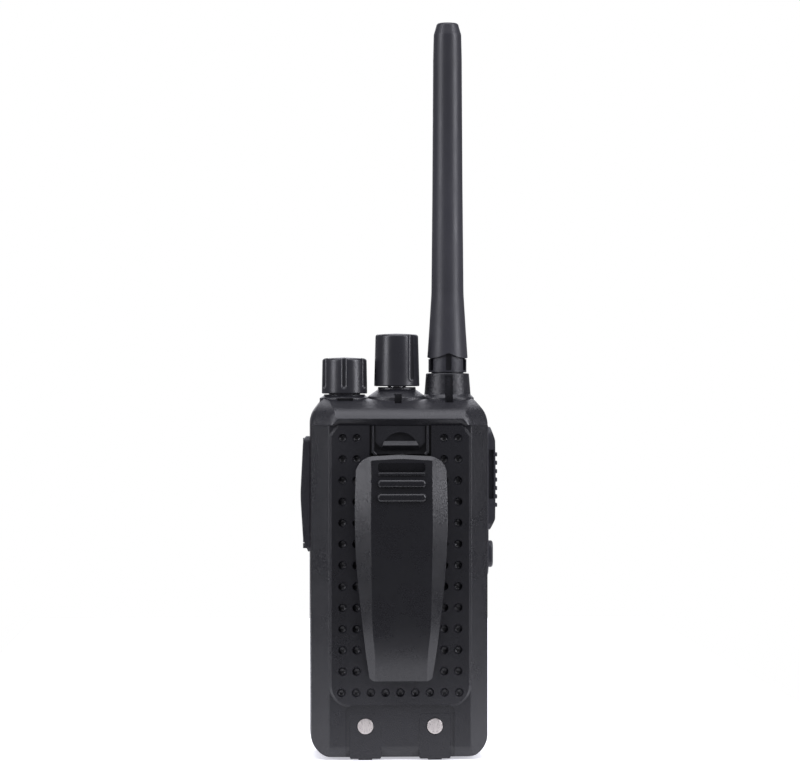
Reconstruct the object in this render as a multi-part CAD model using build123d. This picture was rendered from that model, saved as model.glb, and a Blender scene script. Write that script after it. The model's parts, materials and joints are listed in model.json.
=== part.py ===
from build123d import *
import math
import os

os.makedirs("parts", exist_ok=True)

# Portable two-way radio. Millimetres, +Z up, front (speaker) towards -Y, battery and belt clip towards +Y.
# The origin is the centre of the base that the radio stands on.

# Body
BODY_HALF_W = 28.5
BODY_TOP_Z = 116.2
FRONT_Y = -17.0
PARTING_Y = 3.0
BACK_Y = 16.2
PLATEAU_Y = 17.0
PLATEAU_HALF_W = 22.0
PLATEAU_LOW_Z = 17.7
SEAM_Z = 107.2
SEAM_GAP = 0.05
CAVITY_HALF_W = 25.2
LEDGE_Y = 1.0
CHASSIS_Y0 = 1.4
CHASSIS_Y1 = 2.95
BATTERY_Y0 = 3.05
LID_Y1 = 4.6

# Controls on the deck
CONTROL_Y = -2.0
CHANNEL_X = 0.25
VOLUME_X = 17.3
ANTENNA_X = -16.3
SHAFT_R = 3.0
BUSHING_R = 3.9
FIT = 0.08

# Dimples in the battery back
DIMPLE_R = 1.4
DIMPLE_DEPTH = 1.25
DIMPLE_COLUMNS = (-18.5, -14.0, 14.0, 18.5)
DIMPLE_ROWS = 12
DIMPLE_TOP_Z = 103.1
DIMPLE_PITCH = 6.78
DIMPLE_LOW_ROW_Z = 21.7
DIMPLE_LOW_PITCH = 4.72

# Charging contacts
CONTACT_X = 11.15
CONTACT_Z = 10.8
CONTACT_R = 2.5
CONTACT_Y = 16.05
ZONE_Y = 15.75
ZONE_HALF_W = 17.4

# Battery latch
LATCH_TRAVEL = 2.0
POCKET_Y = 14.2
POCKET_Z = 95.5

# Belt clip
PIN_Y = 21.0
PIN_Z = 86.0
PIN_R = 1.2
CLIP_SCREW_Z = (79.5, 89.5)

# Side controls, all on the -X side
SIDE_Y = -4.3
TALK_Z = (72.8, 106.6)
TALK_TRAVEL = 1.2
SIDE_KEY_Z = (60.5, 69.4)

# Accessory socket and its cover, on the +X side
JACK_Z = (78.5, 90.0)
JACK_R = (1.27, 1.8)
JACK_Y = -3.4
COVER_AXIS = (29.75, -9.0)
COVER_Z = (66.0, 103.5)

# Speaker
SPEAKER_Z = 78.0
SPEAKER_R = 15.8

# Main board
BOARD_Y = (-5.0, -3.8)
BOARD_SCREWS = ((-17.0, 14.0), (17.0, 14.0), (-17.0, 55.0), (17.0, 55.0), (-7.5, 99.5), (7.5, 99.5))
CHASSIS_SCREWS = ((-22.2, 8.0), (22.2, 8.0), (-22.2, 102.5), (22.2, 102.5))


def box(x0, x1, y0, y1, z0, z1):
    """A block between six planes."""
    return Pos((x0 + x1) / 2, (y0 + y1) / 2, (z0 + z1) / 2) * Box(x1 - x0, y1 - y0, z1 - z0)


def rod_z(x, y, z0, z1, r):
    """An upright cylinder."""
    return Pos(x, y, (z0 + z1) / 2) * Cylinder(r, z1 - z0)


def rod_y(x, z, y0, y1, r):
    """A cylinder that points to the back."""
    return Pos(x, (y0 + y1) / 2, z) * Rot(90, 0, 0) * Cylinder(r, y1 - y0)


def rod_x(y, z, x0, x1, r):
    """A cylinder that points to the side."""
    return Pos((x0 + x1) / 2, y, z) * Rot(0, 90, 0) * Cylinder(r, x1 - x0)


def tube_z(x, y, z0, z1, outer, inner):
    """An upright tube."""
    return rod_z(x, y, z0, z1, outer) - rod_z(x, y, z0 - 1, z1 + 1, inner)


def rounded(corners):
    """A flat face whose corners, each (u, v, radius), are rounded."""
    count = len(corners)
    begins = []
    middles = []
    ends = []
    for i in range(count):
        u, v, r = corners[i]
        here = Vector(u, v)
        back = (Vector(*corners[i - 1][:2]) - here).normalized()
        ahead = (Vector(*corners[(i + 1) % count][:2]) - here).normalized()
        if r == 0:
            begins.append(here)
            middles.append(None)
            ends.append(here)
            continue
        half = math.acos(back.dot(ahead)) / 2
        reach = r / math.tan(half)
        inward = (back + ahead).normalized()
        begins.append(here + back * reach)
        middles.append(here + inward * (r / math.sin(half) - r))
        ends.append(here + ahead * reach)
    edges = []
    for i in range(count):
        if middles[i] is not None:
            edges.append(Edge.make_three_point_arc(begins[i], middles[i], ends[i]))
        edges.append(Edge.make_line(ends[i], begins[(i + 1) % count]))
    return Face(Wire(edges))


def along_y(face, y0, y1):
    """An XZ outline pushed from y0 to y1."""
    return Pos(0, y1, 0) * extrude(Plane.XZ * face, amount=y1 - y0, dir=(0, -1, 0))


def along_z(face, z0, z1):
    """An XY outline pushed from z0 to z1."""
    return Pos(0, 0, z0) * extrude(Plane.XY * face, amount=z1 - z0, dir=(0, 0, 1))


def along_x(face, x0, x1):
    """A YZ outline pushed from x0 to x1."""
    return Pos(x0, 0, 0) * extrude(Plane.YZ * face, amount=x1 - x0, dir=(1, 0, 0))


def turned(corners, x, y):
    """A (radius, z, corner radius) outline turned about an upright axis."""
    return Pos(x, y, 0) * revolve(Plane.XZ * rounded(corners), Axis.Z)


def turned_y(corners, x, z):
    """A (radius, y, corner radius) outline turned about an axis that points to the back."""
    solid = revolve(Plane.XZ * rounded(corners), Axis.Z)
    return Pos(x, 0, z) * Rot(-90, 0, 0) * solid


def block(y0, y1, z0, z1, r):
    """A YZ rectangle with rounded corners."""
    return rounded([(y0, z0, r), (y1, z0, r), (y1, z1, r), (y0, z1, r)])


def panel(x0, x1, z0, z1, r):
    """An XZ rectangle with rounded corners."""
    return rounded([(x0, z0, r), (x1, z0, r), (x1, z1, r), (x0, z1, r)])


def hexagon_z(x, y, z0, z1, across):
    """An upright hexagonal prism, sized across its corners."""
    return Pos(x, y, z0) * extrude(RegularPolygon(across, 6), amount=z1 - z0)


def coil(radius, wire, pitch, height):
    """A helical wire that starts at the origin's height and climbs +Z."""
    path = Helix(pitch, height, radius)
    section = Plane(origin=path @ 0, z_dir=path % 0) * Circle(wire)
    return sweep(section, path=path, is_frenet=True)


def save(name, shape):
    """Writes one sub-part."""
    solids = list(shape.solids())
    export_step(Compound(children=solids) if len(solids) > 1 else solids[0], "parts/" + name + ".step")
    print(name, len(solids), round(sum(s.volume for s in solids), 1))


def plan_outline(back_y, back_half_w):
    """The radio seen from above, with a flat back of the given half-width and 45 degree facets beside it."""
    facet_y = back_y - (BODY_HALF_W - back_half_w)
    return rounded(
        [
            (-22.0, FRONT_Y, 9.0),
            (22.0, FRONT_Y, 9.0),
            (BODY_HALF_W, -12.0, 4.0),
            (BODY_HALF_W, facet_y, 1.2),
            (back_half_w, back_y, 1.0),
            (-back_half_w, back_y, 1.0),
            (-BODY_HALF_W, facet_y, 1.2),
            (-BODY_HALF_W, -12.0, 4.0),
        ]
    )


def front_view_outline(low_z, low_r):
    """The radio seen from the front."""
    return rounded(
        [
            (-BODY_HALF_W, low_z, low_r),
            (BODY_HALF_W, low_z, low_r),
            (BODY_HALF_W, 110.4, 8.0),
            (24.0, BODY_TOP_Z, 4.0),
            (-24.0, BODY_TOP_Z, 4.0),
            (-BODY_HALF_W, 110.4, 8.0),
        ]
    )


def housing_side_outline():
    """The housing seen from the side, with the domed deck and the shoulder over the battery."""
    return rounded(
        [
            (-16.2, 0.0, 3.0),
            (PLATEAU_Y + 0.3, 0.0, 0),
            (PLATEAU_Y + 0.3, 109.3, 0.8),
            (15.4, 112.0, 7.5),
            (7.0, 115.3, 16.0),
            (-3.0, BODY_TOP_Z, 20.0),
            (-14.6, BODY_TOP_Z - 0.4, 3.0),
            (FRONT_Y, 101.0, 20.0),
            (FRONT_Y, 12.0, 20.0),
        ]
    )


def battery_side_outline():
    """The battery seen from the side, with the rounded lower back edge."""
    return rounded(
        [
            (0.0, 0.75, 0),
            (14.4, 0.75, 1.4),
            (BACK_Y, 3.4, 3.0),
            (BACK_Y, SEAM_Z - SEAM_GAP, 0),
            (0.0, SEAM_Z - SEAM_GAP, 0),
        ]
    )


def shoulder_section(z, facet, r):
    """A level of the shoulder, whose facets lie on the lines x + y = facet."""
    side = BODY_HALF_W + 0.1
    back = PLATEAU_Y + 0.4
    corners = [
        (-side, -14.0, 0),
        (side, -14.0, 0),
        (side, facet - side, r),
        (facet - back, back, r),
        (back - facet, back, r),
        (-side, facet - side, r),
    ]
    return Pos(0, 0, z) * rounded(corners)


def housing_outer():
    """The outer form of the radio unit, without openings."""
    form = along_y(front_view_outline(0.0, 7.5), -30, 30)
    form = form & along_z(plan_outline(PLATEAU_Y + 0.3, PLATEAU_HALF_W), -1, 120)
    form = form & along_x(housing_side_outline(), -40, 40)
    # The facets lean in and grow round towards the deck
    levels = [
        (SEAM_Z, 39.2, 1.0),
        (109.3, 38.4, 5.0),
        (111.5, 36.6, 8.0),
        (113.5, 33.5, 9.0),
        (115.2, 29.5, 9.0),
        (117.0, 25.5, 9.0),
    ]
    shoulder = loft([shoulder_section(*level) for level in levels])
    form -= box(-40, 40, -6, 40, SEAM_Z, 116.9) - shoulder
    return form - box(-40, 40, PARTING_Y, 40, -10, SEAM_Z)


def front_housing():
    form = housing_outer()
    # Dark bevel that faces down, over the battery
    bevel = rounded(
        [
            (-21.6, SEAM_Z - 1, 0),
            (21.6, SEAM_Z - 1, 0),
            (21.6, SEAM_Z + 0.4, 0),
            (19.4, 109.2, 0),
            (-19.4, 109.2, 0),
            (-21.6, SEAM_Z + 0.4, 0),
        ]
    )
    wedge = rounded([(15.79, 106.2, 0), (20.0, 106.2, 0), (20.0, 114.4, 0), (16.3, SEAM_Z, 0)])
    form -= along_y(bevel, 10, 30) & along_x(wedge, -40, 40)
    # Main cavity, shoulder cavity and the recess of the chassis
    wide = CAVITY_HALF_W
    seen = [(-wide, 2.6, 4.5), (wide, 2.6, 4.5), (wide, 107.5, 6.0), (22.4, 113.5, 2.0), (-22.4, 113.5, 2.0)]
    cavity = along_y(rounded([*seen, (-wide, 107.5, 6.0)]), -30, 30)
    plan = [(-19.0, -15.0, 8.0), (19.0, -15.0, 8.0), (wide, -10.3, 3.0), (wide, 7.0, 0), (19.0, 10.0, 0)]
    cavity &= along_z(rounded([*plan, (-19.0, 10.0, 0), (-wide, 7.0, 0), (-wide, -10.3, 3.0)]), -1, 130)
    inside = [(-15.0, 1.0, 0), (LEDGE_Y, 1.0, 0), (LEDGE_Y, 107.0, 0), (3.4, 109.4, 0), (8.0, 109.4, 0)]
    inside += [(8.0, 111.4, 0), (5.5, 112.9, 0), (-2.0, 113.6, 0), (-12.0, 113.4, 1.0), (-15.0, 101.0, 10.0)]
    cavity &= along_x(rounded(inside), -40, 40)
    form -= cavity
    recess = rounded([(-26.8, 1.6, 6.0), (26.8, 1.6, 6.0), (26.8, SEAM_Z, 0), (-26.8, SEAM_Z, 0)])
    form -= along_y(recess, LEDGE_Y, 4.0)
    # Collars around the controls and the antenna
    cone = [(0, 113.7, 0), (10.0, 113.7, 0), (9.8, 116.2, 0.5), (6.2, 118.7, 0.3), (6.1, 119.5, 0.2)]
    form += turned([*cone, (0, 119.5, 0)], CHANNEL_X, CONTROL_Y)
    disc = [(0, 113.9, 0), (8.1, 113.9, 0), (8.1, 115.9, 0.4), (6.8, 116.7, 0.2), (6.6, 117.1, 0.1)]
    form += turned([*disc, (0, 117.1, 0)], VOLUME_X, CONTROL_Y)
    collar = [(0, 113.7, 0), (8.6, 113.7, 0), (8.6, 116.0, 0.4), (7.55, 117.1, 0.3), (7.0, 124.0, 0.4)]
    form += turned([*collar, (0, 124.0, 0)], ANTENNA_X, CONTROL_Y)
    # Speaker ring and screw bosses inside
    ring = rod_y(0, SPEAKER_Z, -15.5, -11.5, SPEAKER_R + 1.3) - rod_y(0, SPEAKER_Z, -16, -11, SPEAKER_R + FIT)
    form += ring
    for x, z in CHASSIS_SCREWS:
        form += rod_y(x, z, -13.4, LEDGE_Y, 2.6) & along_y(front_view_outline(1.0, 7.0), -30, 30)
    # Openings of the deck
    form -= rod_z(CHANNEL_X, CONTROL_Y, 112, 121, BUSHING_R + FIT)
    form -= rod_z(CHANNEL_X, CONTROL_Y, 116.2, 121, 5.2)
    form -= rod_z(VOLUME_X, CONTROL_Y, 112, 121, BUSHING_R + FIT)
    form -= rod_z(VOLUME_X, CONTROL_Y, 116.2, 121, 5.2)
    form -= rod_z(ANTENNA_X, CONTROL_Y, 112, 126, 3.2 + FIT)
    form -= rod_z(ANTENNA_X, CONTROL_Y, 116.2, 126, 5.6)
    form -= along_z(Pos(9.4, -10.2) * SlotOverall(6.0, 2.4).face(), 112, 118)
    # Index marks of the channel and volume collars, groove of the antenna collar
    form -= box(CHANNEL_X - 1.15, CHANNEL_X + 1.15, 6.1, 12.0, 114.2, 117.2)
    form -= along_y(Pos(VOLUME_X, 115.45) * SlotOverall(5.4, 0.9).face(), 4.9, 12.0)
    form -= box(ANTENNA_X - 1.28, ANTENNA_X + 1.28, CONTROL_Y + 6.65, 9.0, 114.0, 123.2)
    # Notch for the latch tongue
    form -= box(-4.4, 4.4, 13.9, 15.35, SEAM_Z - 1, 108.5)
    # Speaker grille
    for i in range(-4, 5):
        half = math.sqrt(15.0**2 - (3.2 * i) ** 2)
        slot = Pos(0, SPEAKER_Z + 3.2 * i) * SlotOverall(2 * half, 1.5).face()
        form -= along_y(slot, -20, -14.5)
    # Shallow panels of the front face and the microphone hole
    form -= along_y(panel(-19.0, 19.0, 58.5, 98.5, 5.0), -20, -16.6)
    form -= along_y(panel(-17.0, 17.0, 14.0, 46.0, 4.0), -20, -16.6)
    form -= rod_y(-10.0, 52.0, -20, -14, 0.7)
    # Talk button and side key openings
    talk = block(SIDE_Y - 4.9, SIDE_Y + 4.9, TALK_Z[0] - 0.2, TALK_Z[1] + 0.2, 3.4)
    form -= along_x(talk, -40, -26.2)
    form -= rod_x(SIDE_Y, 90.0, -30, -20, 1.7)
    key = block(SIDE_Y - 3.1, SIDE_Y + 3.1, SIDE_KEY_Z[0] - 0.2, SIDE_KEY_Z[1] + 0.2, 3.0)
    form -= along_x(key, -40, -26.2)
    form -= rod_x(SIDE_Y, 65.6, -30, -20, 1.7)
    # Accessory socket opening and the knuckles of its cover
    form -= box(20, 40, -7.7, 1.0, 72.0, 96.6)
    for z in (COVER_Z[0] + 0.7, COVER_Z[1] - 2.3):
        knuckle = rod_z(*COVER_AXIS, z, z + 1.6, 0.95) + box(28.0, COVER_AXIS[0], -9.95, -8.05, z, z + 1.6)
        form += knuckle - rod_z(*COVER_AXIS, z - 1, z + 3, 0.55)
    # Screw holes
    for x, z in CHASSIS_SCREWS:
        form -= rod_y(x, z, -7.0, 4.0, 1.25)
    return form


def chassis():
    outline = rounded([(-26.7, 1.7, 5.9), (26.7, 1.7, 5.9), (26.7, 107.1, 0.5), (-26.7, 107.1, 0.5)])
    plate = along_y(outline, CHASSIS_Y0, CHASSIS_Y1)
    for x, z in BOARD_SCREWS:
        plate += rod_y(x, z, BOARD_Y[1], CHASSIS_Y0 + 0.2, 2.6)
    for z in (30.0, 68.0):
        plate += box(-12.0, 10.0, -0.4, CHASSIS_Y0 + 0.1, z - 0.6, z + 0.6)
    for x, z in BOARD_SCREWS:
        plate -= rod_y(x, z, -5, 1.0, 1.0)
    for x, z in CHASSIS_SCREWS:
        plate -= rod_y(x, z, 0, 4, 1.35)
        plate -= rod_y(x, z, 1.95, 4, 2.2)
    # Recessed field behind the battery, terminal window and lug pockets
    plate -= along_y(panel(-16.0, 16.0, 34.0, 62.0, 3.0), 2.5, 4.0)
    plate -= box(-9.1, 9.1, 0, 4, 21.9, 27.1)
    for x in (-14.0, 14.0):
        plate -= box(x - 3.2, x + 3.2, 0, 4, 4.4, 7.6)
    return plate


def battery_outer():
    """The outer form of the battery, without pockets."""
    form = along_y(front_view_outline(0.75, 7.0), -30, 30)
    form &= along_z(plan_outline(BACK_Y, PLATEAU_HALF_W + 0.8), -1, 120)
    form &= along_x(battery_side_outline(), -40, 40)
    # Raised field: its edges slope at 45 degrees
    low = PLATEAU_LOW_Z - 0.8
    wide = PLATEAU_HALF_W + 0.8
    field = [(-wide, low, 7.0), (wide, low, 7.0), (wide, 104.0, 0.6), (wide - 3.4, 109.0, 0)]
    field = rounded([*field, (3.4 - wide, 109.0, 0), (-wide, 104.0, 0.6)])
    raised = extrude(Plane.XZ.offset(-BACK_Y) * field, amount=-0.8, taper=45)
    form += raised & box(-40, 40, 10, 30, 0, SEAM_Z - SEAM_GAP)
    return form


def battery_case():
    form = battery_outer() & box(-40, 40, LID_Y1, 40, -5, 120)
    # Sunken contact zone, whose floor follows the rounded lower edge
    floor = [(13.6, -1.0, 0), (13.95, 0.75, 1.4), (ZONE_Y, 3.5, 3.0), (ZONE_Y, PLATEAU_LOW_Z, 0)]
    floor = rounded([*floor, (18.0, PLATEAU_LOW_Z, 0), (18.0, -1.0, 0)])
    wide = ZONE_HALF_W
    zone = [(-wide, -1.0, 0), (wide, -1.0, 0), (wide, 16.3, 1.6), (wide - 2.0, 17.9, 2.0)]
    zone += [(2.0 - wide, 17.9, 2.0), (-wide, 16.3, 1.6)]
    form -= along_x(floor, -wide, wide) & along_y(rounded(zone), 10, 20)
    # Contact blocks that stand a little proud and run down into the feet
    for side in (-1, 1):
        x = side * CONTACT_X
        foot = rounded([(x - 5.0, 0.4, 0.5), (x + 5.0, 0.4, 0.5), (x + 5.0, 14.8, 1.2), (x - 5.0, 14.8, 1.2)])
        form += along_y(foot, 12.0, ZONE_Y + 0.12)
        form += box(x - 2.2, x + 2.2, 12.5, ZONE_Y - 0.2, 0.0, 0.6)
    # Latch pocket with undercut sides and the spring recess in its floor
    form -= along_y(panel(-9.9, 9.9, POCKET_Z, 110.0, 0.8), POCKET_Y, 30)
    form -= box(-10.9, 10.9, POCKET_Y, 15.5, 98.0 - LATCH_TRAVEL - 0.2, 110)
    form -= box(-5.2, 5.2, 13.3, POCKET_Y + 0.1, 96.3, 102.8)
    # Dimples
    sphere_r = (DIMPLE_R**2 + DIMPLE_DEPTH**2) / (2 * DIMPLE_DEPTH)
    y = PLATEAU_Y - DIMPLE_DEPTH + sphere_r
    spots = [(x, DIMPLE_TOP_Z - DIMPLE_PITCH * row) for x in DIMPLE_COLUMNS for row in range(DIMPLE_ROWS)]
    spots += [(DIMPLE_LOW_PITCH * i, DIMPLE_LOW_ROW_Z) for i in range(-4, 5)]
    form -= [Pos(x, y, z) * Sphere(sphere_r) for x, z in spots]
    # Inside: full depth around the cell, less behind the contacts and the latch
    deep = [(-26.7, 4.0, 0), (26.7, 4.0, 0), (26.7, 10.3, 1.0), (21.8, 15.2, 1.0), (-21.8, 15.2, 1.0)]
    cavity = along_z(rounded([*deep, (-26.7, 10.3, 1.0)]), 17.9, 94.0)
    shallow = [(-26.7, 4.0, 0), (26.7, 4.0, 0), (26.7, 10.3, 1.0), (23.2, 13.8, 1.0), (-23.2, 13.8, 1.0)]
    cavity += along_z(rounded([*shallow, (-26.7, 10.3, 1.0)]), 8.5, 18.0)
    cavity += box(-26.7, 26.7, 4.0, 12.2, 4.5, 8.6)
    cavity += box(-26.7, 26.7, 4.0, 12.3, 93.9, 105.0)
    rim = rounded([(-26.7, 2.6, 5.5), (26.7, 2.6, 5.5), (26.7, 105.4, 1.5), (-26.7, 105.4, 1.5)])
    form -= cavity & along_y(rim, 0, 30)
    # Holes of the charging contacts and of the clip screws
    for x in (-CONTACT_X, CONTACT_X):
        form -= rod_y(x, CONTACT_Z, 12.0, 20, 1.6)
        form -= rod_y(x, CONTACT_Z, 15.2, 20, CONTACT_R + 0.22)
    for z in CLIP_SCREW_Z:
        form -= rod_y(0, z, 13, 20, 1.25)
    return form


def battery_lid():
    form = battery_outer() & box(-40, 40, BATTERY_Y0, LID_Y1, -5, 120)
    form -= along_y(panel(-16.5, 16.5, 33.5, 62.5, 3.0), 0, BATTERY_Y0 + 0.4)
    for x in (-6.0, 0.0, 6.0):
        form -= box(x - 2.0, x + 2.0, 0, 3.75, 22.0, 27.0)
    for x in (-14.0, 14.0):
        form += box(x - 3.0, x + 3.0, 1.7, BATTERY_Y0 + 0.2, 4.6, 7.4)
    return form


def battery_cell():
    plan = rounded([(-21.0, 4.65, 1.5), (21.0, 4.65, 1.5), (21.0, 13.6, 3.0), (-21.0, 13.6, 3.0)])
    body = along_z(plan, 17.0, 92.6)
    for x in (-6.0, 6.0):
        body += box(x - 2.0, x + 2.0, 9.0, 9.3, 14.6, 17.2)
    return body


def battery_board():
    board = box(-18.0, 18.0, 8.6, 9.4, 9.4, 14.55)
    for x0, x1 in ((-8.5, -4.5), (-3.0, 3.0), (4.5, 8.5)):
        board += box(x0, x1, 9.3, 10.6, 10.2, 13.6)
    return board


def charge_contacts():
    parts = []
    for x in (-CONTACT_X, CONTACT_X):
        stem = [(0, 9.4, 0), (1.5, 9.4, 0), (1.5, 15.25, 0), (CONTACT_R, 15.25, 0)]
        parts.append(turned_y([*stem, (CONTACT_R, CONTACT_Y, 0.15), (0, CONTACT_Y, 0)], x, CONTACT_Z))
    return Compound(children=[p.solid() for p in parts])


def battery_contacts():
    parts = [box(x - 1.9, x + 1.9, 3.45, 3.75, 22.1, 26.9) for x in (-6.0, 0.0, 6.0)]
    return Compound(children=[p.solid() for p in parts])


def battery_latch():
    top = SEAM_Z - 0.15
    form = box(-10.7, 10.7, 14.35, 15.35, 98.0, top)
    plate = [(-8.0, 101.8, 0), (-6.4, 100.2, 0.5), (6.4, 100.2, 0.5), (8.0, 101.8, 0), (8.0, top, 0)]
    form += along_y(rounded([*plate, (-8.0, top, 0)]), 15.3, 16.3)
    for side in (-1, 1):
        ridge = [(8.4, 98.9), (7.5, 98.0), (8.1, 97.5), (9.15, 98.5), (9.15, top), (8.4, top)]
        ridge = [(side * u, v, 0) for u, v in ridge]
        if side < 0:
            ridge.reverse()
        rail = along_y(rounded(ridge), 14.35, 16.95)
        form += chamfer(rail.faces().sort_by(Axis.Y)[-1].edges(), 0.25)
    # Thumb ledge, then the half-moon finger recess above it
    ledge = rounded([(-6.4, 99.3, 0.3), (6.4, 99.3, 0.3), (5.1, 102.3, 0.5), (-5.1, 102.3, 0.5)])
    beak = [(15.0, 99.4, 0), (16.3, 99.4, 0), (17.6, 100.75, 0.2), (16.5, 102.25, 0.2), (15.0, 102.25, 0)]
    beak = rounded(beak)
    form += along_y(ledge, 15.3, 17.7) & along_x(beak, -8, 8)
    form -= rod_y(0, 99.1, 14.7, 20, 5.9) & box(-5.3, 5.3, 10, 20, 102.2, 106)
    # Tongue under the shoulder, and the tab that bears on the spring
    form += box(-4.0, 4.0, 14.35, 15.2, top - 0.1, 108.2)
    form += box(-4.6, 4.6, 13.5, 14.4, 101.5, 102.5)
    return form


def latch_spring():
    """A zigzag of flat spring strip in the recess behind the latch."""
    reach, rise, half_t = 4.3, 0.86, 0.17
    tilt = math.atan2(rise, 2 * reach)
    form = rod_y(-reach, 96.5, 13.55, 13.95, half_t)
    for i in range(5):
        side = 1 if i % 2 else -1
        x0, z0 = side * reach, 96.5 + rise * i
        bar = Box(2 * reach / math.cos(tilt), 0.4, 2 * half_t)
        form += Pos(0, 13.75, z0 + rise / 2) * Rot(0, side * math.degrees(tilt), 0) * bar
        form += rod_y(-x0, z0 + rise, 13.55, 13.95, half_t)
    return form


def clip_section(z, w, f, y):
    """One level of the belt clip: a channel with a flat back and bevelled sides."""
    drop = min(3.4, 0.82 * (w - f))
    points = [
        (-w, y - drop),
        (-f, y),
        (f, y),
        (w, y - drop),
        (w - 0.5, y - drop - 1.2),
        (w - 1.7, y - drop - 0.9),
        (f - 0.7, y - 2.2),
        (-f + 0.7, y - 2.2),
        (-w + 1.7, y - drop - 0.9),
        (-w + 0.5, y - drop - 1.2),
    ]
    return Plane.XY.offset(z) * Face(Wire.make_polygon([Vector(*p) for p in points]))


def belt_clip():
    # (z, half-width, half-width of the flat, height of the outer face)
    levels = [
        (25.0, 9.9, 8.1, 21.0),
        (29.0, 10.4, 8.3, 22.6),
        (35.0, 11.3, 8.5, 24.1),
        (40.0, 11.9, 9.0, 24.9),
        (53.0, 13.4, 9.5, 26.0),
        (66.5, 14.5, 9.7, 26.5),
        (79.5, 14.8, 9.8, 26.6),
        (88.0, 14.6, 9.7, 26.2),
        (93.0, 14.4, 9.7, 25.7),
        (98.5, 14.2, 9.8, 24.9),
    ]
    form = loft([clip_section(*level) for level in levels])
    outline = [(-9.9, 25.7, 2.4), (9.9, 25.7, 2.4), (20.0, 60.0, 0), (14.6, 90.0, 0), (14.5, 97.2, 6.0)]
    outline += [(0, 97.9, 60.0), (-14.5, 97.2, 6.0), (-14.6, 90.0, 0), (-20.0, 60.0, 0)]
    outline = rounded(outline)
    rim = extrude(Plane.XZ.offset(-24.0) * outline, amount=-2.0, taper=45)
    form &= along_y(outline, 0, 24.0) + rim + box(-20, 20, 23.9, 40, 20, 89)
    # Tip that meets the battery
    form += box(-7.5, 7.5, 17.15, 20.4, 26.0, 27.8)
    # Lugs around the pin
    ear = [(PIN_Y - 2.2, PIN_Z - 2.2, 2.1), (PIN_Y - 2.2, PIN_Z + 2.2, 2.1), (24.6, PIN_Z + 3.4, 0)]
    lug = along_x(rounded([*ear, (24.6, PIN_Z - 3.4, 0)]), 5.4, 7.4)
    form += [lug, mirror(lug, about=Plane.YZ)]
    form -= rod_x(PIN_Y, PIN_Z, -9, 9, PIN_R + FIT)
    # Slot with its raised lower lip, and the two thumb ridges
    form -= along_y(panel(-7.55, 7.55, 92.4, 95.45, 1.1), 15, 40)
    bars = ((7.5, 91.3, 92.35, 0.5, 26.5), (7.75, 87.5, 90.1, 1.25, 27.3), (7.9, 83.0, 85.8, 1.35, 27.6))
    for half_w, z0, z1, r, y in bars:
        bar = along_y(panel(-half_w, half_w, z0, z1, r), 25.2, y)
        form += fillet(bar.faces().sort_by(Axis.Y)[-1].edges(), 0.76 * r)
    return form


def clip_bracket():
    base = along_y(panel(-10.2, 10.2, 76.2, 95.2, 1.5), PLATEAU_Y, 18.4)
    ear = [(PLATEAU_Y + 0.5, PIN_Z - 4.6, 0), (18.4, PIN_Z - 4.6, 0), (PIN_Y + 2.1, PIN_Z - 2.1, 2.0)]
    ear += [(PIN_Y + 2.1, PIN_Z + 2.1, 2.0), (18.4, PIN_Z + 4.6, 0), (PLATEAU_Y + 0.5, PIN_Z + 4.6, 0)]
    ear = along_x(rounded(ear), 7.7, 9.3)
    base += [ear, mirror(ear, about=Plane.YZ)]
    base -= rod_x(PIN_Y, PIN_Z, -12, 12, PIN_R)
    for z in CLIP_SCREW_Z:
        base -= rod_y(0, z, 16, 20, 1.35)
        base -= rod_y(0, z, 17.6, 20, 2.3)
    return base


def clip_screws():
    parts = []
    for z in CLIP_SCREW_Z:
        screw = rod_y(0, z, 15.3, 17.7, 1.2) + rod_y(0, z, 17.62, 18.35, 2.2)
        screw -= box(-1.7, 1.7, 18.0, 19, z - 0.25, z + 0.25)
        screw -= box(-0.25, 0.25, 18.0, 19, z - 1.7, z + 1.7)
        parts.append(screw.solid())
    return Compound(children=parts)


def clip_spring():
    wire = Pos(-4.2, PIN_Y, PIN_Z) * Rot(0, 90, 0) * coil(1.75, 0.28, 1.2, 8.4)
    return wire


def knob(x, z0, z1, r0, r1, turn, cup_z, shaft_top):
    """A tapered knob with six round-bottomed flutes, a bore for its shaft and a cup under it."""
    form = turned([(0, z0, 0), (r0, z0, 0.35), (r1, z1 - 0.4, 0.9), (0, z1, 0)], x, CONTROL_Y)
    for i in range(6):
        angle = math.radians(turn + 60 * i)
        fx = x + (r0 + 0.38) * math.sin(angle)
        fy = CONTROL_Y + (r0 + 0.38) * math.cos(angle)
        form -= rod_z(fx, fy, z0 + 2.75, z1 + 1, 1.45) + Pos(fx, fy, z0 + 2.75) * Sphere(1.45)
    form -= rod_z(x, CONTROL_Y, z0 - 1, shaft_top, SHAFT_R)
    form -= rod_z(x, CONTROL_Y, z0 - 1, cup_z, 5.4)
    return form


def control_body(x, half_w, top):
    """The body and threaded bushing of a rotary control under the deck."""
    form = box(x - half_w, x + half_w, CONTROL_Y - 5.2, CONTROL_Y + 2.9, 107.4, 112.4)
    form += rod_z(x, CONTROL_Y, 112.3, top, BUSHING_R)
    form -= rod_z(x, CONTROL_Y, 109.0, top + 1, SHAFT_R + FIT)
    for i in (-1, 0, 1):
        form += box(x + 2.6 * i - 0.4, x + 2.6 * i + 0.4, -6.2, -5.9, 104.2, 107.5)
    return form


def control_nuts():
    parts = []
    for x, z0, z1 in ((CHANNEL_X, 116.25, 117.9), (VOLUME_X, 116.25, 117.9)):
        nut = hexagon_z(x, CONTROL_Y, z0, z1, 5.1) - rod_z(x, CONTROL_Y, 110, 125, BUSHING_R)
        parts.append(nut.solid())
    return Compound(children=parts)


def control_seals():
    parts = [tube_z(x, CONTROL_Y, 112.45, 112.95, 5.0, BUSHING_R + 0.05) for x in (CHANNEL_X, VOLUME_X)]
    return Compound(children=[p.solid() for p in parts])


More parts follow.
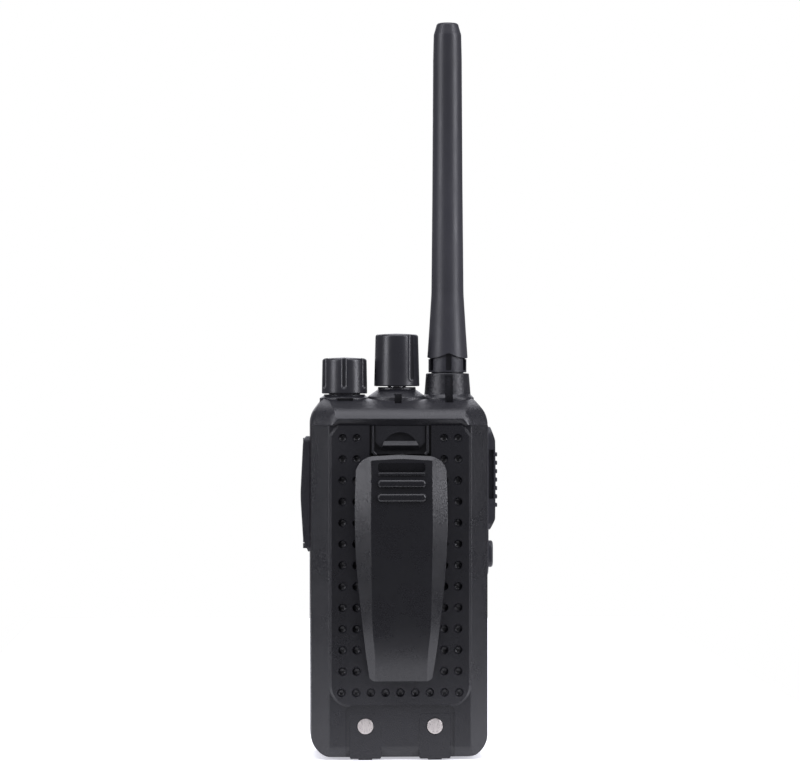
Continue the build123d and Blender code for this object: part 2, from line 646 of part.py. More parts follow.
def antenna_socket():
    form = box(ANTENNA_X - 4.4, ANTENNA_X + 4.4, CONTROL_Y - 4.2, CONTROL_Y + 4.2, 109.6, 113.2)
    form += rod_z(ANTENNA_X, CONTROL_Y, 113.1, 121.5, 3.2)
    form -= rod_z(ANTENNA_X, CONTROL_Y, 115.0, 123, 0.9)
    form += rod_z(ANTENNA_X, CONTROL_Y, 104.4, 109.7, 0.6)
    return form


def antenna_socket_nut():
    return hexagon_z(ANTENNA_X, CONTROL_Y, 116.25, 117.9, 5.0) - rod_z(ANTENNA_X, CONTROL_Y, 110, 125, 3.2)


def antenna_connector():
    body = [(0, 118.3, 0), (5.15, 118.3, 0), (5.15, 121.3, 0), (4.5, 121.3, 0), (4.5, 131.2, 0)]
    form = turned([*body, (2.8, 131.2, 0), (2.8, 135.5, 0.4), (0, 135.5, 0)], ANTENNA_X, CONTROL_Y)
    form -= rod_z(ANTENNA_X, CONTROL_Y, 117, 122.2, 3.2 + FIT)
    form += rod_z(ANTENNA_X, CONTROL_Y, 117.0, 122.5, 0.5)
    return form


def antenna_base_ring():
    """The slotted ring between the collar and the sleeve."""
    ring = [(4.58, 121.4, 0), (5.25, 121.4, 0), (5.25, 124.3, 0), (6.2, 124.3, 0.15), (6.2, 128.6, 0)]
    ring += [(5.78, 128.6, 0), (5.76, 131.1, 0)]
    form = turned([*ring, (4.58, 131.1, 0)], ANTENNA_X, CONTROL_Y)
    for i in range(6):
        cut = box(-0.95, 0.95, 4.95, 8.0, 124.9, 130.4)
        form -= Pos(ANTENNA_X, CONTROL_Y, 0) * Rot(0, 0, 60 * i) * cut
    return form


def antenna_sleeve():
    outline = [
        (0, 128.8, 0),
        (6.6, 128.8, 0.15),
        (6.0, 137.8, 30.0),
        (5.25, 150.0, 40.0),
        (4.95, 182.0, 0),
        (4.7, 226.0, 0),
        (4.5, 234.4, 2.0),
        (3.4, 238.2, 0.9),
        (0, 238.2, 0),
    ]
    form = turned(outline, ANTENNA_X, CONTROL_Y)
    # Three arched cuts in the lower edge
    arch = [(-6.7, 128.6, 0), (6.7, 128.6, 0), (3.2, 129.25, 3.0), (0, 130.55, 0.8), (-3.2, 129.25, 3.0)]
    for i in range(3):
        form -= Pos(ANTENNA_X, CONTROL_Y, 0) * Rot(0, 0, 120 * i) * along_y(rounded(arch), 0.5, 9)
    form -= rod_z(ANTENNA_X, CONTROL_Y, 120, 131.3, 5.85)
    form -= rod_z(ANTENNA_X, CONTROL_Y, 120, 231.0, 2.85)
    return form


def antenna_radiator():
    wire = Pos(ANTENNA_X, CONTROL_Y, 135.9) * coil(2.1, 0.4, 7.0, 92.0)
    return wire


def speaker_frame():
    outline = [(13.6, -14.1, 0), (15.7, -14.1, 0), (15.7, -12.6, 0), (14.6, -12.6, 0), (7.2, -9.7, 0)]
    outline += [(2.0, -9.7, 0), (2.0, -10.3, 0), (7.0, -10.3, 0), (14.2, -13.2, 0), (13.6, -13.3, 0)]
    return turned_y(outline, 0, SPEAKER_Z)


def speaker_cone():
    outline = [(0, -12.0, 0), (3.0, -12.0, 0), (6.6, -11.1, 0), (13.4, -13.9, 0), (13.4, -14.05, 0)]
    outline += [(6.6, -11.5, 0), (3.0, -12.6, 0), (0, -12.8, 0)]
    return turned_y(outline, 0, SPEAKER_Z)


def speaker_magnet():
    form = turned_y([(0, -9.65, 0), (7.6, -9.65, 0), (7.6, -7.0, 0.4), (0, -7.0, 0)], 0, SPEAKER_Z)
    return form + rod_y(0, SPEAKER_Z, -10.9, -9.6, 1.9)


def microphone_boot():
    cup = rod_y(-10.0, 52.0, -14.95, -11.6, 3.7) - rod_y(-10.0, 52.0, -14.4, -11, 2.95)
    return cup - rod_y(-10.0, 52.0, -16, -11, 0.7)


def main_board():
    board = along_y(panel(-20.3, 20.3, 8.0, 103.0, 1.5), *BOARD_Y)
    board -= box(11.4, 25, -10, 0, 68.0, 98.0)
    for x, z in BOARD_SCREWS:
        board -= rod_y(x, z, -10, 0, 1.15)
    for x, z in CHASSIS_SCREWS:
        board -= rod_y(x, z, -10, 0, 2.9)
    return board


def board_components():
    chips = [
        (-6.0, 6.0, 28.0, 40.0, 1.3),
        (-14.0, -8.5, 30.0, 36.0, 1.0),
        (9.0, 14.5, 24.0, 32.0, 1.6),
        (-14.0, -6.0, 18.0, 23.0, 1.1),
        (3.0, 12.0, 44.0, 49.0, 1.9),
        (-15.5, -12.0, 62.0, 67.0, 1.4),
        (9.0, 13.0, 58.0, 62.0, 1.2),
        (-19.0, -17.6, 70.0, 76.0, 1.0),
        (-3.0, 3.5, 14.0, 17.0, 0.9),
    ]
    parts = [box(x0, x1, BOARD_Y[0] - h, BOARD_Y[0], z0, z1).solid() for x0, x1, z0, z1, h in chips]
    return Compound(children=parts)


def rf_shield():
    can = along_y(panel(-13.0, 11.0, 33.0, 64.0, 1.0), BOARD_Y[1], -1.0)
    return can - along_y(panel(-12.7, 10.7, 33.3, 63.7, 0.8), BOARD_Y[1] - 1, -1.3)


def screws(spots, head_y, head_r, shank_r, tip_y, towards):
    """Cross-head screws whose heads start at head_y and whose shanks end at tip_y."""
    parts = []
    for x, z in spots:
        y0, y1 = sorted((head_y, tip_y))
        screw = rod_y(x, z, y0, y1, shank_r)
        top = head_y + towards * 0.85
        screw += rod_y(x, z, min(head_y, top), max(head_y, top), head_r)
        cut0, cut1 = sorted((top, top - towards * 0.45))
        screw -= box(x - 1.2, x + 1.2, cut0, cut1, z - 0.22, z + 0.22)
        screw -= box(x - 0.22, x + 0.22, cut0, cut1, z - 1.2, z + 1.2)
        parts.append(screw.solid())
    return Compound(children=parts)


def terminal_block():
    form = box(-9.0, 9.0, BOARD_Y[1], 2.6, 22.0, 27.0)
    for x in (-6.0, 0.0, 6.0):
        form -= box(x - 1.4, x + 1.4, -1.0, 4, 22.8, 26.2)
    return form


def battery_terminals():
    parts = []
    for x in (-6.0, 0.0, 6.0):
        leaf = [(-1.0, 22.9, 0), (-0.5, 22.9, 0), (3.35, 24.2, 0.25), (3.35, 24.9, 0.25)]
        leaf += [(-0.5, 26.1, 0), (-1.0, 26.1, 0), (2.7, 24.55, 0.15)]
        parts.append(along_x(rounded(leaf), x - 1.1, x + 1.1).solid())
    return Compound(children=parts)


def housing_gasket():
    outer = rounded([(-26.6, 1.8, 5.9), (26.6, 1.8, 5.9), (26.6, 106.8, 0), (-26.6, 106.8, 0)])
    inner = rounded([(-25.3, 3.1, 4.6), (25.3, 3.1, 4.6), (25.3, 110, 0), (-25.3, 110, 0)])
    return along_y(outer, LEDGE_Y, CHASSIS_Y0) - along_y(inner, 0, 3)


def side_bezel():
    form = along_x(block(-9.9, 2.0, 57.8, 107.6, 4.2), -29.5, -BODY_HALF_W)
    rim = form.faces().sort_by(Axis.X)[0].edges()
    form = chamfer(rim, 0.5)
    form -= along_x(block(SIDE_Y - 4.7, SIDE_Y + 4.7, TALK_Z[0] - 0.1, TALK_Z[1] + 0.1, 3.3), -40, -20)
    form -= along_x(block(SIDE_Y - 2.9, SIDE_Y + 2.9, SIDE_KEY_Z[0] - 0.1, SIDE_KEY_Z[1] + 0.1, 2.8), -40, -20)
    return form


def talk_button():
    z0, z1 = TALK_Z
    form = along_x(block(SIDE_Y - 4.5, SIDE_Y + 4.5, z0 + 0.1, z1 - 0.1, 3.2), -33.0, -27.6)
    crown = [(-20.0, z0 - 1, 0), (-29.4, z0 - 1, 0), (-30.2, z0 + 0.2, 0), (-31.75, z0 + 3.6, 2.0)]
    crown += [(-31.95, 90.2, 0), (-31.75, z1 - 4.4, 3.0), (-30.3, z1 - 0.2, 0), (-29.4, z1 + 1, 0)]
    form &= along_y(rounded([*crown, (-20.0, z1 + 1, 0)]), -20, 10)
    for i in range(7):
        z = 81.0 + 2.75 * i
        form += along_x(block(SIDE_Y - 3.4, SIDE_Y + 3.4, z - 0.65, z + 0.65, 0.6), -32.5, -30.0)
    # Grip slot in the back flank
    form -= box(-31.3, -29.5, SIDE_Y + 3.3, 5, 83.1, 99.1)
    return form


def talk_plunger():
    return rod_x(SIDE_Y, 90.0, -27.6, -25.1, 1.5)


def side_key():
    outline = block(SIDE_Y - 2.8, SIDE_Y + 2.8, SIDE_KEY_Z[0] + 0.05, SIDE_KEY_Z[1] - 0.05, 2.7)
    form = along_x(outline, -31.2, -27.6)
    edge = form.faces().sort_by(Axis.X)[0].edges()
    form = fillet(edge, 0.7)
    return form + rod_x(SIDE_Y, 65.6, -27.7, -25.1, 1.5)


def side_key_board():
    return box(-21.8, -21.0, -9.0, -0.5, 60.0, 97.0) + box(-21.0, -20.4, -7.0, -5.05, 70.0, 86.0)


def tact_switch(z):
    """A small push switch on the side board."""
    form = box(-23.2, -21.8, SIDE_Y - 2.2, SIDE_Y + 2.2, z - 2.2, z + 2.2)
    return form + rod_x(SIDE_Y, z, -23.75, -23.1, 1.2)


def accessory_jack():
    form = box(12.0, 26.8, -7.6, 0.9, 72.1, 96.5)
    for z, r in zip(JACK_Z, JACK_R):
        form -= rod_x(JACK_Y, z, 12.8, 30, r)
        form -= rod_x(JACK_Y, z, 26.2, 30, r + 0.9)
    return form


def accessory_cover():
    z0, z1 = COVER_Z
    # Shallow bow over the height, tapered at the lower end
    bow = [(28.7, z0, 0), (29.2, z0, 0), (30.7, z0 + 3.6, 6.0), (31.6, 84.0, 50.0), (30.7, z1 - 1.2, 1.0)]
    form = along_y(rounded([*bow, (29.7, z1, 0.5), (28.7, z1, 0)]), -9.0, 1.7)
    form &= along_x(block(-12.0, 1.7, z0, z1, 2.2), 20, 40) + box(20, 40, -12, -6, z0, z1)
    form += rod_z(*COVER_AXIS, z0, z1, 0.95)
    for end, inner in ((z0, z0 + 2.6), (z1, z1 - 2.6)):
        form -= box(28.0, 33.0, -12.0, -6.9, min(end - 1, inner), max(end + 1, inner))
    form -= rod_z(*COVER_AXIS, z0 - 1, z1 + 1, 0.55)
    # Finger notch at the back edge
    form -= rod_y(30.9, 72.0, 0.9, 3, 1.2)
    return form


def accessory_cover_pin():
    return rod_z(*COVER_AXIS, COVER_Z[0] + 0.8, COVER_Z[1] - 0.8, 0.5)


def accessory_cover_seal():
    form = along_x(block(-7.3, 0.3, 72.6, 96.0, 1.5), 27.3, 28.7)
    for z in JACK_Z:
        form += rod_x(JACK_Y, z, 27.1, 27.4, 2.3)
    return form


save("front_housing", front_housing())
save("chassis", chassis())
save("battery_case", battery_case())
save("battery_lid", battery_lid())
save("battery_cell", battery_cell())
save("battery_cell_pad", box(-20.0, 20.0, 13.65, 15.15, 18.0, 92.0))
save("battery_board", battery_board())
save("charge_contacts", charge_contacts())
save("battery_contacts", battery_contacts())
save("battery_latch", battery_latch())
save("latch_spring", latch_spring())
save("belt_clip", belt_clip())
save("clip_bracket", clip_bracket())
save("clip_screws", clip_screws())
save("clip_pin", rod_x(PIN_Y, PIN_Z, -9.3, 9.3, PIN_R))
save("clip_spring", clip_spring())
save("channel_knob", knob(CHANNEL_X, 119.75, 137.0, 7.4, 6.95, 23.0, 121.2, 133.2))
save("volume_knob", knob(VOLUME_X, 117.35, 129.2, 7.4, 7.2, 3.0, 119.4, 126.0))
save("channel_shaft", rod_z(CHANNEL_X, CONTROL_Y, 109.2, 133.1, SHAFT_R))
save("volume_shaft", rod_z(VOLUME_X, CONTROL_Y, 109.2, 125.9, SHAFT_R))
save("channel_switch", control_body(CHANNEL_X, 5.8, 118.7))
save("volume_potentiometer", control_body(VOLUME_X, 5.2, 118.4))
save("control_nuts", control_nuts())
save("control_seals", control_seals())
save("antenna_socket", antenna_socket())
save("antenna_socket_nut", antenna_socket_nut())
save("antenna_connector", antenna_connector())
save("antenna_base_ring", antenna_base_ring())
save("antenna_sleeve", antenna_sleeve())
save("antenna_radiator", antenna_radiator())
save("status_window", along_z(Pos(9.4, -10.2) * SlotOverall(5.9, 2.3).face(), 112.6, 116.35))
save("speaker_cloth", rod_y(0, SPEAKER_Z, -14.95, -14.7, 15.4))
save("speaker_seal", rod_y(0, SPEAKER_Z, -14.7, -14.1, 15.7) - rod_y(0, SPEAKER_Z, -15, -14, 13.8))
save("speaker_frame", speaker_frame())
save("speaker_cone", speaker_cone())
save("speaker_magnet", speaker_magnet())
save("microphone", rod_y(-10.0, 52.0, -14.3, -11.8, 2.9))
save("microphone_boot", microphone_boot())
save("main_board", main_board())
save("board_components", board_components())
save("rf_shield", rf_shield())
save("board_screws", screws(BOARD_SCREWS, BOARD_Y[0], 1.9, 0.97, 0.6, -1))
save("chassis_screws", screws(CHASSIS_SCREWS, 1.98, 2.1, 1.2, -6.5, 1))
save("terminal_block", terminal_block())
save("battery_terminals", battery_terminals())
save("housing_gasket", housing_gasket())
save("side_bezel", side_bezel())
save("talk_button", talk_button())
save("talk_plunger", talk_plunger())
save("side_key", side_key())
save("side_key_board", side_key_board())
save("talk_switch", tact_switch(90.0))
save("side_key_switch", tact_switch(65.6))
save("accessory_jack", accessory_jack())
save("accessory_cover", accessory_cover())
save("accessory_cover_pin", accessory_cover_pin())
save("accessory_cover_seal", accessory_cover_seal())
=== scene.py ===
import json
import math

import bpy
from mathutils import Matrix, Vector

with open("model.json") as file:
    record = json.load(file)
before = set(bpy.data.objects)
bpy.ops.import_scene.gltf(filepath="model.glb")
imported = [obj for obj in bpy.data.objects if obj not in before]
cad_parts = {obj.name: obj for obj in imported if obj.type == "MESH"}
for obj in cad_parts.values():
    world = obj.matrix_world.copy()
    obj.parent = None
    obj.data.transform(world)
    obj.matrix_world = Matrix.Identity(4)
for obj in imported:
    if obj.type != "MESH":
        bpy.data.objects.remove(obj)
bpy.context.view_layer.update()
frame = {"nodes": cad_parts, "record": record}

scene = bpy.context.scene


def add(name, data):
    """A new object in the scene."""
    obj = bpy.data.objects.new(name, data)
    scene.collection.objects.link(obj)
    return obj


def facing(direction):
    """The rotation that turns a camera or an area light to look along a direction."""
    return direction.to_track_quat("-Z", "Y").to_euler()


# ---------------------------------------------------------------- camera
# It looks at the radio's back from +Y, level, and turned a little towards +X.
YAW = math.radians(2.8)
DISTANCE = 1.000
EYE_Z = 0.1182
SIDE_SHIFT = 0.0007
# The picture's scale, which holds on the plane SCALE_DEPTH nearer than the Z axis.
MM_PER_PX = 0.322
SCALE_DEPTH = 0.0108
IMAGE_WIDTH_PX = 800.0
SENSOR_MM = 36.0

toward = Vector((-math.sin(YAW), -math.cos(YAW), 0.0))
right = Vector((-math.cos(YAW), math.sin(YAW), 0.0))
focal_px = (DISTANCE - SCALE_DEPTH) / (MM_PER_PX / 1000.0)

cam_data = bpy.data.cameras.new("camera")
cam_data.sensor_width = SENSOR_MM
cam_data.lens = focal_px / IMAGE_WIDTH_PX * SENSOR_MM
cam_data.clip_start = 0.01
cam_data.clip_end = 50.0
cam = add("camera", cam_data)
cam.location = -toward * DISTANCE + right * SIDE_SHIFT + Vector((0, 0, EYE_Z))
cam.rotation_euler = facing(toward)
scene.camera = cam


# ---------------------------------------------------------------- light
COOL = (0.97, 0.97, 1.045)
MID_BODY = (0.0, 0.0, 0.11)
ABOVE_ANTENNA = (0.0, 0.0, 0.50)
SIDE_BOX = (0.24, 0.76)
FRONT_BOX = (0.8, 0.6)
WORLD_STRENGTH = 0.19


def softbox(name, place, aim, size, watts):
    data = bpy.data.lights.new(name, "AREA")
    data.shape = "RECTANGLE"
    data.size, data.size_y = size
    data.energy = watts
    data.color = COOL
    lamp = add(name, data)
    lamp.location = place
    lamp.rotation_euler = facing(Vector(aim) - Vector(place))


def overhead(name, tilt_deg, strength, spread_deg):
    """A very wide soft light from above, tilted a little to the camera's side."""
    data = bpy.data.lights.new(name, "SUN")
    data.energy = strength
    data.angle = math.radians(spread_deg)
    data.color = COOL
    add(name, data).rotation_euler = (math.radians(-tilt_deg), 0.0, 0.0)


def studio_world():
    """A dim cool surround that the camera itself sees as white."""
    world = bpy.data.worlds.new("studio")
    scene.world = world
    world.use_nodes = True
    tree = world.node_tree
    tree.nodes.clear()
    mix = tree.nodes.new("ShaderNodeMixShader")
    path = tree.nodes.new("ShaderNodeLightPath")
    tree.links.new(path.outputs["Is Camera Ray"], mix.inputs[0])
    for slot, colour, strength in ((1, COOL, WORLD_STRENGTH), (2, (1, 1, 1), 1.0)):
        background = tree.nodes.new("ShaderNodeBackground")
        background.inputs["Color"].default_value = (*colour, 1)
        background.inputs["Strength"].default_value = strength
        tree.links.new(background.outputs[0], mix.inputs[slot])
    out = tree.nodes.new("ShaderNodeOutputWorld")
    tree.links.new(mix.outputs[0], out.inputs[0])


overhead("overhead_scrim", tilt_deg=8.0, strength=2.1, spread_deg=60.0)
softbox("left_softbox", (0.66, 0.36, 0.50), ABOVE_ANTENNA, SIDE_BOX, 4.2)
softbox("right_softbox", (-0.66, 0.36, 0.50), ABOVE_ANTENNA, SIDE_BOX, 5.4)
softbox("front_softbox", (0.0, -0.90, 0.55), MID_BODY, FRONT_BOX, 2.5)
studio_world()
scene.view_settings.view_transform = "Standard"


# ---------------------------------------------------------------- shader helper
NOISE_LOW, NOISE_HIGH = 0.3, 0.7  # most of a noise field's values lie between these
EDGE_FROM, EDGE_TO = 0.995, 0.80  # cosine between the bevelled and the real normal
DUST_FROM, DUST_TO, DUST_AMOUNT = 0.74, 0.82, 0.10
DUST_GREY = 0.12
PLASTIC = {"Specular IOR Level": 0.5, "IOR": 1.5}
MIX_FACTOR, MIX_A, MIX_B, MIX_RESULT = 0, 6, 7, 2  # sockets of a Mix node set to RGBA


def grey(value, tint=0.0):
    """A grey whose blue is raised by the tint."""
    return (value, value, value * (1.0 + tint))


class Shader:
    """A procedural material around one Principled node. Noise scales are per metre."""

    def __init__(self, name, fixed):
        self.mat = bpy.data.materials.new(name)
        self.mat.use_nodes = True
        self.nt = self.mat.node_tree
        self.bsdf = self.nt.nodes["Principled BSDF"]
        self.coord = self.nt.nodes.new("ShaderNodeTexCoord").outputs["Object"]
        for key, value in fixed.items():
            self.bsdf.inputs[key].default_value = value

    def node(self, kind, inputs=None, **props):
        n = self.nt.nodes.new(kind)
        for key, value in props.items():
            setattr(n, key, value)
        for key, value in (inputs or {}).items():
            if isinstance(value, bpy.types.NodeSocket):
                self.nt.links.new(value, n.inputs[key])
            else:
                n.inputs[key].default_value = value
        return n

    def stretched(self, sx, sy, sz):
        inputs = {"Vector": self.coord, "Scale": (sx, sy, sz)}
        return self.node("ShaderNodeMapping", inputs).outputs[0]

    def noise(self, scale, detail=2.0, rough=0.5, vector=None, distortion=0.0):
        inputs = {
            "Vector": vector or self.coord,
            "Scale": scale,
            "Detail": detail,
            "Roughness": rough,
            "Distortion": distortion,
        }
        return self.node("ShaderNodeTexNoise", inputs).outputs["Fac"]

    def cells(self, scale, feature="F1"):
        inputs = {"Vector": self.coord, "Scale": scale}
        return self.node("ShaderNodeTexVoronoi", inputs, feature=feature).outputs["Distance"]

    def remap(self, value, from_min, from_max, to_min, to_max):
        inputs = {
            "Value": value,
            "From Min": from_min,
            "From Max": from_max,
            "To Min": to_min,
            "To Max": to_max,
        }
        return self.node("ShaderNodeMapRange", inputs).outputs[0]

    def spread(self, noise, low, high):
        """A noise field stretched to run from low to high."""
        return self.remap(noise, NOISE_LOW, NOISE_HIGH, low, high)

    def math(self, op, a, b):
        return self.node("ShaderNodeMath", {0: a, 1: b}, operation=op).outputs[0]

    def blend(self, fac, a, b):
        """Colour a where fac is 0 and b where it is 1. Colours are sockets or triples."""
        mix = self.node("ShaderNodeMix", {MIX_FACTOR: fac}, data_type="RGBA")
        for key, value in ((MIX_A, a), (MIX_B, b)):
            if isinstance(value, tuple):
                mix.inputs[key].default_value = (*value, 1)
            else:
                self.nt.links.new(value, mix.inputs[key])
        return mix.outputs[MIX_RESULT]

    def dusted(self, colour, scale):
        """Sparse pale specks over a colour."""
        amount = self.remap(self.noise(scale, 1.0), DUST_FROM, DUST_TO, 0.0, DUST_AMOUNT)
        return self.blend(amount, colour, grey(DUST_GREY))

    def edges(self, radius):
        """1 along convex and concave edges, 0 on flat ground."""
        bevel = self.node("ShaderNodeBevel", {"Radius": radius}, samples=4).outputs[0]
        flat = self.node("ShaderNodeNewGeometry").outputs["Normal"]
        dot = self.node("ShaderNodeVectorMath", {0: bevel, 1: flat}, operation="DOT_PRODUCT")
        return self.remap(dot.outputs["Value"], EDGE_FROM, EDGE_TO, 0.0, 1.0)

    def bump(self, height, distance, strength, under=None):
        """Relief on the surface, or on the relief under it."""
        inputs = {"Height": height, "Distance": distance, "Strength": strength}
        if under is not None:
            inputs["Normal"] = under
        return self.node("ShaderNodeBump", inputs).outputs[0]

    def finish(self, colour, rough, normal=None):
        for key, socket in (("Base Color", colour), ("Roughness", rough), ("Normal", normal)):
            if socket is not None:
                self.nt.links.new(socket, self.bsdf.inputs[key])
        return self.mat


# ---------------------------------------------------------------- materials
CASE_TINT, CASE_WEAR, CASE_SCUFFS = 0.22, 0.35, 0.18
KNOB_TINT = 0.20
RUBBER_TINT = 0.20
FINE_WEAR = 0.3


def moulded(name, base, rough, grain=0.00028, grain_depth=0.00018):
    """Injection-moulded plastic: spark-eroded grain, flow patches, dust, scuffs, polished edges."""
    s = Shader(name, PLASTIC)
    patch = s.spread(s.noise(28.0, 3.0, 0.55), 0.0, 1.0)
    colour = s.blend(patch, grey(base * 0.86, CASE_TINT), grey(base * 1.14, CASE_TINT))
    fine = s.noise(1.0 / grain, 2.0, 0.6)
    colour = s.blend(s.remap(fine, 0.35, 0.75, 0.0, 0.30), colour, grey(base * 1.7, CASE_TINT))
    colour = s.dusted(colour, 900.0)
    line = s.noise(1.0, 3.0, 0.6, s.stretched(60, 700, 900), 0.6)
    scuff = s.remap(line, 0.66, 0.74, 0.0, CASE_SCUFFS)
    colour = s.blend(scuff, colour, grey(base * 1.8, CASE_TINT))
    patchy = s.remap(s.noise(210.0, 3.0), 0.35, 0.65, 0.3, 1.0)
    worn = s.math("MULTIPLY", s.edges(0.00035), patchy)
    colour = s.blend(s.math("MULTIPLY", worn, CASE_WEAR), colour, grey(base * 2.6, CASE_TINT))
    r = s.spread(s.noise(70.0, 5.0, 0.6), rough - 0.07, rough + 0.07)
    r = s.math("SUBTRACT", r, s.math("MULTIPLY", worn, 0.12))
    r = s.math("ADD", r, s.spread(fine, -0.03, 0.03))
    n = s.bump(s.noise(90.0), distance=0.00006, strength=0.5)
    n = s.bump(fine, grain_depth, strength=0.55, under=n)
    return s.finish(colour, r, n)


def smooth_plastic(name):
    """Semi-gloss plastic, finer than the case, with fingertip smears."""
    s = Shader(name, PLASTIC)
    patch = s.spread(s.noise(60.0, 3.0), 0.0, 1.0)
    colour = s.blend(patch, grey(0.018, KNOB_TINT), grey(0.028, KNOB_TINT))
    colour = s.dusted(colour, 1500.0)
    worn = s.math("MULTIPLY", s.edges(0.00025), FINE_WEAR)
    colour = s.blend(worn, colour, grey(0.07, 0.05))
    r = s.spread(s.noise(140.0, 4.0, 0.6), 0.26, 0.36)
    n = s.bump(s.noise(4200.0), distance=0.00006, strength=0.22)
    return s.finish(colour, r, n)


def rubber(name, base, rough, turned=0.0):
    """Elastomer with a soft bloom and fine grain, and turned marks around Z where asked for."""
    s = Shader(name, {"Specular IOR Level": 0.45, "IOR": 1.5})
    bloom = s.spread(s.noise(36.0, 4.0, 0.6, s.stretched(1, 1, 0.35)), 0.0, 1.0)
    colour = s.blend(bloom, grey(base * 0.85, RUBBER_TINT), grey(base * 1.25, RUBBER_TINT))
    colour = s.dusted(colour, 1300.0)
    worn = s.math("MULTIPLY", s.edges(0.0003), FINE_WEAR)
    colour = s.blend(worn, colour, grey(base * 2.4, RUBBER_TINT))
    r = s.spread(s.noise(80.0, 4.0), rough - 0.06, rough + 0.06)
    n = s.bump(s.noise(3000.0, 2.0, 0.6), distance=0.00012, strength=0.35)
    if turned:
        marks = s.noise(1.0, vector=s.stretched(12, 12, 1400))
        n = s.bump(marks, distance=0.00008, strength=turned, under=n)
    return s.finish(colour, r, n)


def metal(name, dark, light, rough, brushed=(1, 1, 1), tarnish=(0.2, 0.18, 0.15), relief=0.3):
    """Plated or ground metal with brush lines, stains and small dents."""
    s = Shader(name, {"Metallic": 1.0})
    lines = s.noise(1.0, 4.0, 0.6, s.stretched(*[900 * k for k in brushed]))
    colour = s.blend(s.spread(lines, 0.0, 1.0), dark, light)
    stain = s.noise(160.0, 5.0, 0.65)
    colour = s.blend(s.remap(stain, 0.58, 0.78, 0.0, 0.45), colour, tarnish)
    r = s.spread(lines, rough - 0.06, rough + 0.08)
    r = s.math("ADD", r, s.remap(stain, 0.55, 0.8, 0.0, 0.2))
    n = s.bump(lines, distance=0.00004, strength=relief)
    n = s.bump(s.noise(500.0, 3.0), distance=0.00008, strength=relief * 0.6, under=n)
    return s.finish(colour, r, n)


def cast(name):
    """Die-cast aluminium: soft pebbled skin with darker flow marks."""
    s = Shader(name, {"Metallic": 1.0})
    flow = s.spread(s.noise(45.0, 5.0, 0.6, distortion=0.8), 0.0, 1.0)
    colour = s.blend(flow, (0.36, 0.36, 0.37), (0.56, 0.56, 0.57))
    r = s.spread(s.noise(220.0, 4.0), 0.38, 0.58)
    n = s.bump(s.cells(1800.0), distance=0.00008, strength=0.4)
    return s.finish(colour, r, n)


def board(name):
    """Green solder resist with darker copper paths and bright pads."""
    s = Shader(name, {"Specular IOR Level": 0.5})
    tracks = s.cells(420.0, "DISTANCE_TO_EDGE")
    resist = s.remap(tracks, 0.03, 0.06, 0.0, 1.0)
    colour = s.blend(resist, (0.05, 0.17, 0.06), (0.012, 0.075, 0.03))
    pads = s.remap(s.noise(700.0, 0.0), 0.70, 0.72, 0.0, 1.0)
    colour = s.blend(pads, colour, (0.62, 0.58, 0.48))
    r = s.spread(s.noise(300.0, 3.0), 0.28, 0.42)
    n = s.bump(s.remap(tracks, 0.03, 0.06, 1.0, 0.0), distance=0.00003, strength=0.6)
    return s.finish(colour, r, n)


def cloth(name):
    """Fine woven speaker mesh."""
    s = Shader(name, {"Specular IOR Level": 0.2})
    inputs = {"Vector": s.coord, "Scale": 900.0, "Distortion": 0.3}
    warp, weft = (
        s.node("ShaderNodeTexWave", inputs, bands_direction=axis).outputs["Fac"] for axis in "XZ"
    )
    weave = s.math("MULTIPLY", warp, weft)
    colour = s.blend(weave, grey(0.006), grey(0.045))
    r = s.remap(weave, 0.0, 1.0, 0.95, 0.75)
    return s.finish(colour, r, s.bump(weave, distance=0.0001, strength=0.8))


def foam(name, base):
    """Closed-cell foam."""
    s = Shader(name, {"Specular IOR Level": 0.2})
    pores = s.cells(2600.0)
    colour = s.blend(s.remap(pores, 0.0, 0.6, 0.0, 1.0), grey(base * 0.4), grey(base * 1.3))
    r = s.spread(s.noise(90.0, 3.0), 0.80, 0.95)
    return s.finish(colour, r, s.bump(pores, distance=0.0001, strength=0.8))


def film(name, dark, light, rough):
    """Shrink film or cone film with fine wrinkles."""
    s = Shader(name, {"Specular IOR Level": 0.5})
    folds = s.noise(60.0, 4.0, 0.6, s.stretched(1, 1, 0.3), 1.2)
    colour = s.blend(s.spread(folds, 0.0, 1.0), dark, light)
    r = s.spread(s.noise(180.0, 3.0), rough - 0.06, rough + 0.1)
    return s.finish(colour, r, s.bump(folds, distance=0.0003, strength=0.3))


def lens(name):
    """Milky light-pipe plastic."""
    s = Shader(name, {"Specular IOR Level": 0.5, "Transmission Weight": 0.35})
    cloud = s.noise(500.0, 3.0)
    colour = s.blend(s.spread(cloud, 0.0, 1.0), (0.55, 0.55, 0.53), (0.72, 0.72, 0.70))
    r = s.spread(s.noise(900.0), 0.18, 0.30)
    return s.finish(colour, r, s.bump(cloud, distance=0.00003, strength=0.2))


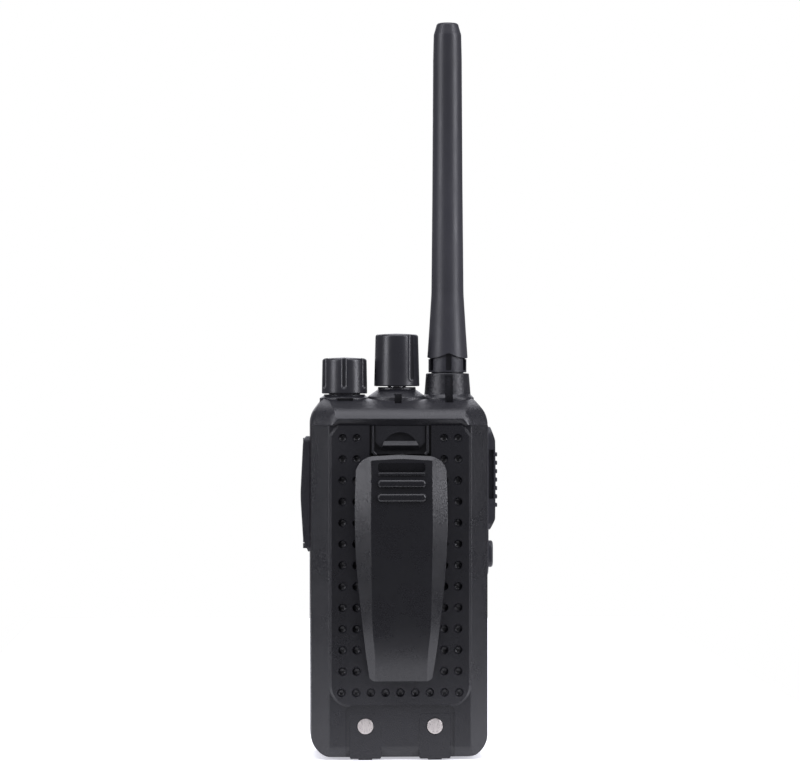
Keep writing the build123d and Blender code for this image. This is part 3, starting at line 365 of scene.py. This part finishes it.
# Each material slot of the record: the kind of material, then that kind's numbers.
LOOKS = {
    "housing_plastic": (moulded, 0.014, 0.31),
    "bezel_plastic": (moulded, 0.024, 0.34),
    "battery_plastic": (moulded, 0.011, 0.32),
    "latch_plastic": (moulded, 0.012, 0.38),
    "clip_plastic": (moulded, 0.009, 0.28, 0.00022, 0.00008),
    "cover_plastic": (moulded, 0.026, 0.42),
    "jack_plastic": (moulded, 0.018, 0.48),
    "antenna_plastic": (moulded, 0.028, 0.36),
    "chip_plastic": (moulded, 0.015, 0.55),
    "knob_plastic": (smooth_plastic,),
    "antenna_rubber": (rubber, 0.032, 0.42, 0.15),
    "button_rubber": (rubber, 0.032, 0.44),
    "seal_rubber": (rubber, 0.020, 0.70),
    "foam_seal": (foam, 0.06),
    "brass_metal": (metal, (0.62, 0.50, 0.27), (0.80, 0.66, 0.38), 0.28),
    "copper_wire": (metal, (0.62, 0.34, 0.18), (0.80, 0.46, 0.26), 0.25),
    "steel_wire": (metal, (0.50, 0.50, 0.50), (0.66, 0.66, 0.66), 0.25, (1, 1, 6)),
    "steel_sheet": (metal, (0.55, 0.55, 0.56), (0.70, 0.70, 0.70), 0.30, (4, 1, 1)),
    "steel_screw": (metal, (0.20, 0.20, 0.21), (0.34, 0.34, 0.35), 0.35),
    "spring_wire": (metal, (0.45, 0.45, 0.46), (0.62, 0.62, 0.63), 0.28),
    "control_metal": (metal, (0.50, 0.50, 0.51), (0.66, 0.66, 0.66), 0.32, (1, 1, 5)),
    "contact_metal": (
        metal, (0.60, 0.56, 0.54), (0.74, 0.69, 0.66), 0.30, (5, 1, 1), (0.50, 0.46, 0.44), 0.18,
    ),
    "contact_gold": (metal, (0.72, 0.54, 0.24), (0.90, 0.70, 0.34), 0.22),
    "die_cast_metal": (cast,),
    "magnet_metal": (metal, (0.12, 0.12, 0.13), (0.20, 0.20, 0.21), 0.42),
    "speaker_cloth": (cloth,),
    "cone_film": (film, (0.05, 0.045, 0.04), (0.10, 0.09, 0.08), 0.5),
    "circuit_board": (board,),
    "cell_wrap": (film, (0.03, 0.10, 0.30), (0.05, 0.14, 0.38), 0.3),
    "lens_plastic": (lens,),
}
materials = {slot: make(slot, *numbers) for slot, (make, *numbers) in LOOKS.items()}

for row in frame["record"]["subparts"]:
    mesh = frame["nodes"][row["node"]].data
    mesh.materials.clear()
    mesh.materials.append(materials[row["material_slot"]])


# ---------------------------------------------------------------- floor
FLOOR_SIDE = 0.16
FLOOR_FAR, FLOOR_NEAR = -0.60, 0.085
FLOOR_DROP = 0.0001
FLOOR_GLOW = 0.48


def floor():
    """A pale sheet that glows a little, so that it renders as white."""
    corners = [
        (-FLOOR_SIDE, FLOOR_FAR, 0),
        (FLOOR_SIDE, FLOOR_FAR, 0),
        (FLOOR_SIDE, FLOOR_NEAR, 0),
        (-FLOOR_SIDE, FLOOR_NEAR, 0),
    ]
    mesh = bpy.data.meshes.new("floor")
    mesh.from_pydata(corners, [], [(0, 1, 2, 3)])
    obj = add("floor", mesh)
    obj.location = (0, 0, -FLOOR_DROP)
    fixed = {
        "Specular IOR Level": 0.1,
        "Emission Color": (*COOL, 1),
        "Emission Strength": FLOOR_GLOW,
    }
    s = Shader("floor_paint", fixed)
    tone = s.spread(s.noise(3.0, 4.0), 0.0, 1.0)
    colour = s.blend(tone, grey(0.90), grey(0.93))
    r = s.spread(s.noise(20.0, 3.0), 0.85, 0.95)
    mesh.materials.append(s.finish(colour, r))


floor()
